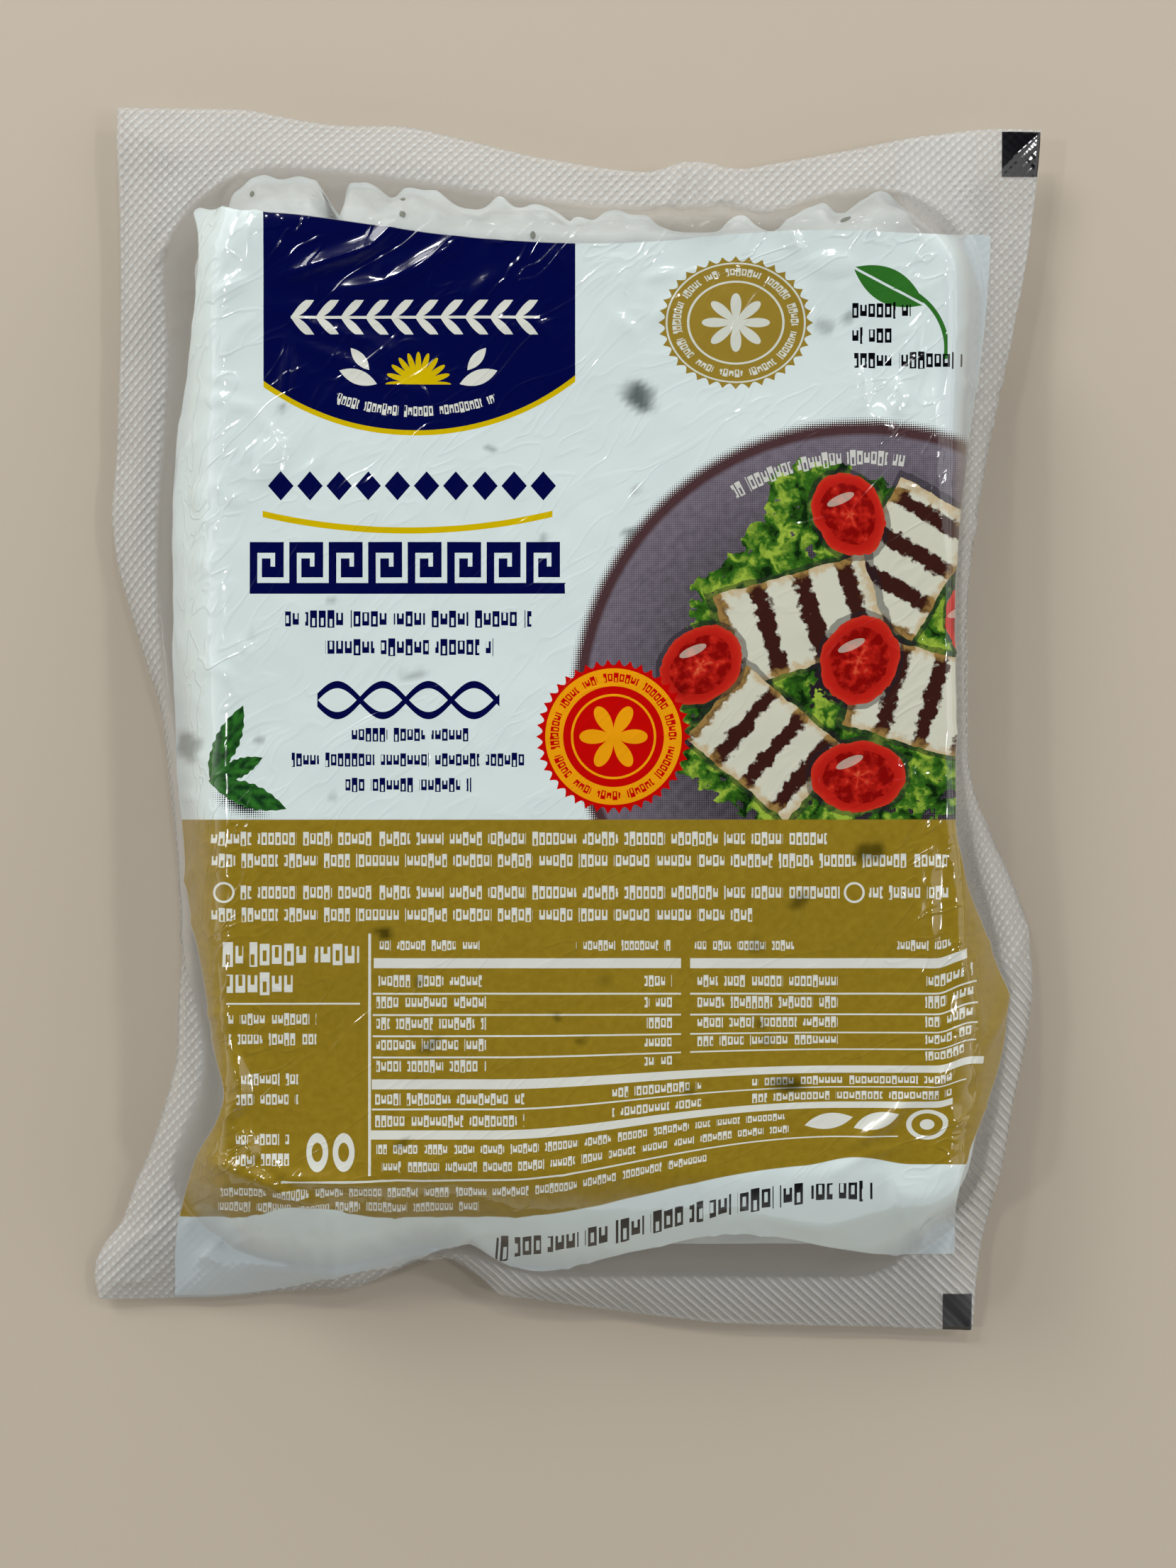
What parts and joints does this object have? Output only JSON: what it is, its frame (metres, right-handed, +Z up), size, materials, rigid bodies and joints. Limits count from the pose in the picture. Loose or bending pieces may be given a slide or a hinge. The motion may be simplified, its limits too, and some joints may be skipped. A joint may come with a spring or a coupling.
{
  "type": "sealed halloumi pack",
  "caption": "Flat slab of halloumi vacuum sealed in printed film, with a thin wavy welded flange all round, lying flat.",
  "frame": {"origin": "on the surface the pack rests on, under the middle of its outline", "axes": "+Y the long way, towards the pack's top end as printed; +X to the right of the print; +Z up through the printed lid"},
  "size_m": [0.1104, 0.143, 0.0236],
  "materials": {
    "film": "clear printed film drawn tight over white cheese",
    "cheese": "moist white cheese with chopped mint"
  },
  "bodies": {
    "root": {"sealed_pack": "film"}
  },
  "joints": []
}
